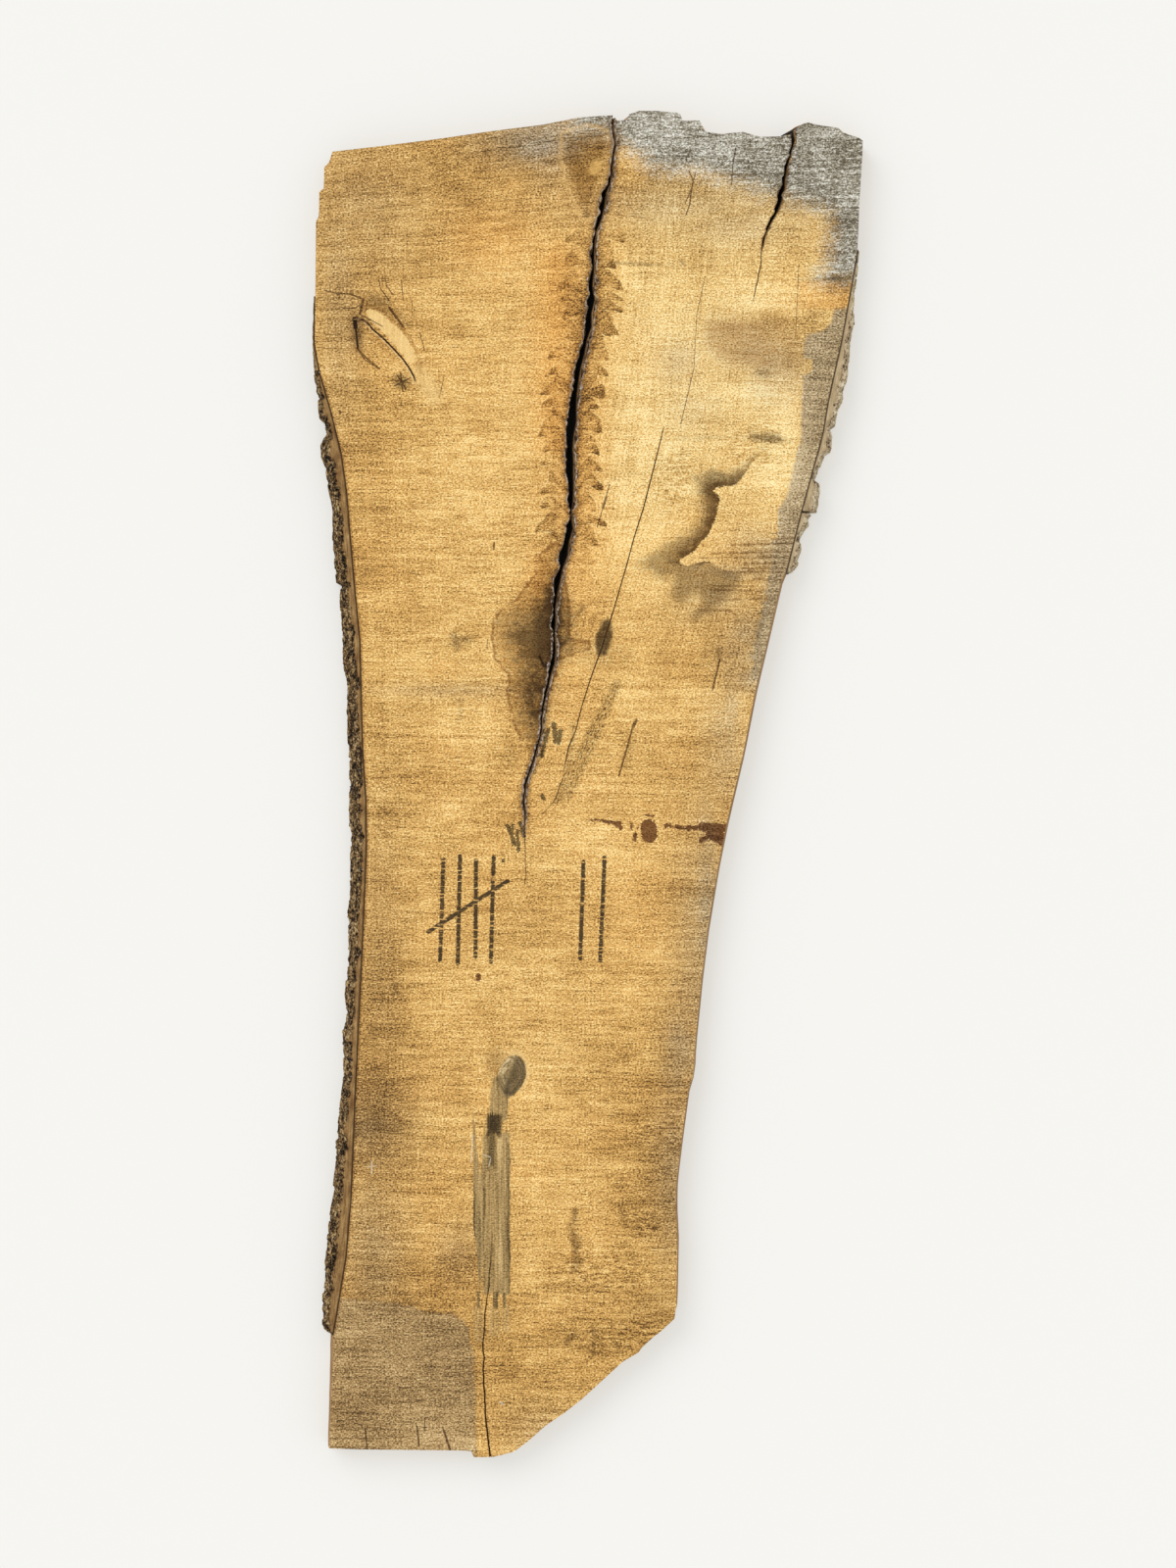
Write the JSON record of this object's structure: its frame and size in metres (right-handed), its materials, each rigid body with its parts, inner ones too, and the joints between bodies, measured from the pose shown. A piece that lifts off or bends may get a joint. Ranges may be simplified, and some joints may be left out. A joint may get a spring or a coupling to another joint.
{
  "type": "live-edge wood slab",
  "caption": "Rough-sawn live-edge slab cut through a forked log, with long through cracks, a branch scar and bark left on parts of both edges.",
  "frame": {"origin": "centre of the bounding box on the back face, which lies on the ground", "axes": "+Y along the slab towards the fork end, +Z out of the sawn face, +X across the slab to the right as the sawn face is seen with the fork end up"},
  "size_m": [1.002, 2.44, 0.057],
  "materials": {
    "sawn_wood": "rough-sawn, weathered, unfinished",
    "bark": "furrowed outer bark, dry and dull",
    "inner_bark": "smooth inner bark, dry and dull"
  },
  "bodies": {
    "root": {"wood": "sawn_wood", "bark_left": "bark", "bark_left_top": "inner_bark", "bark_right": "bark", "bark_right_low": "bark"}
  },
  "joints": []
}
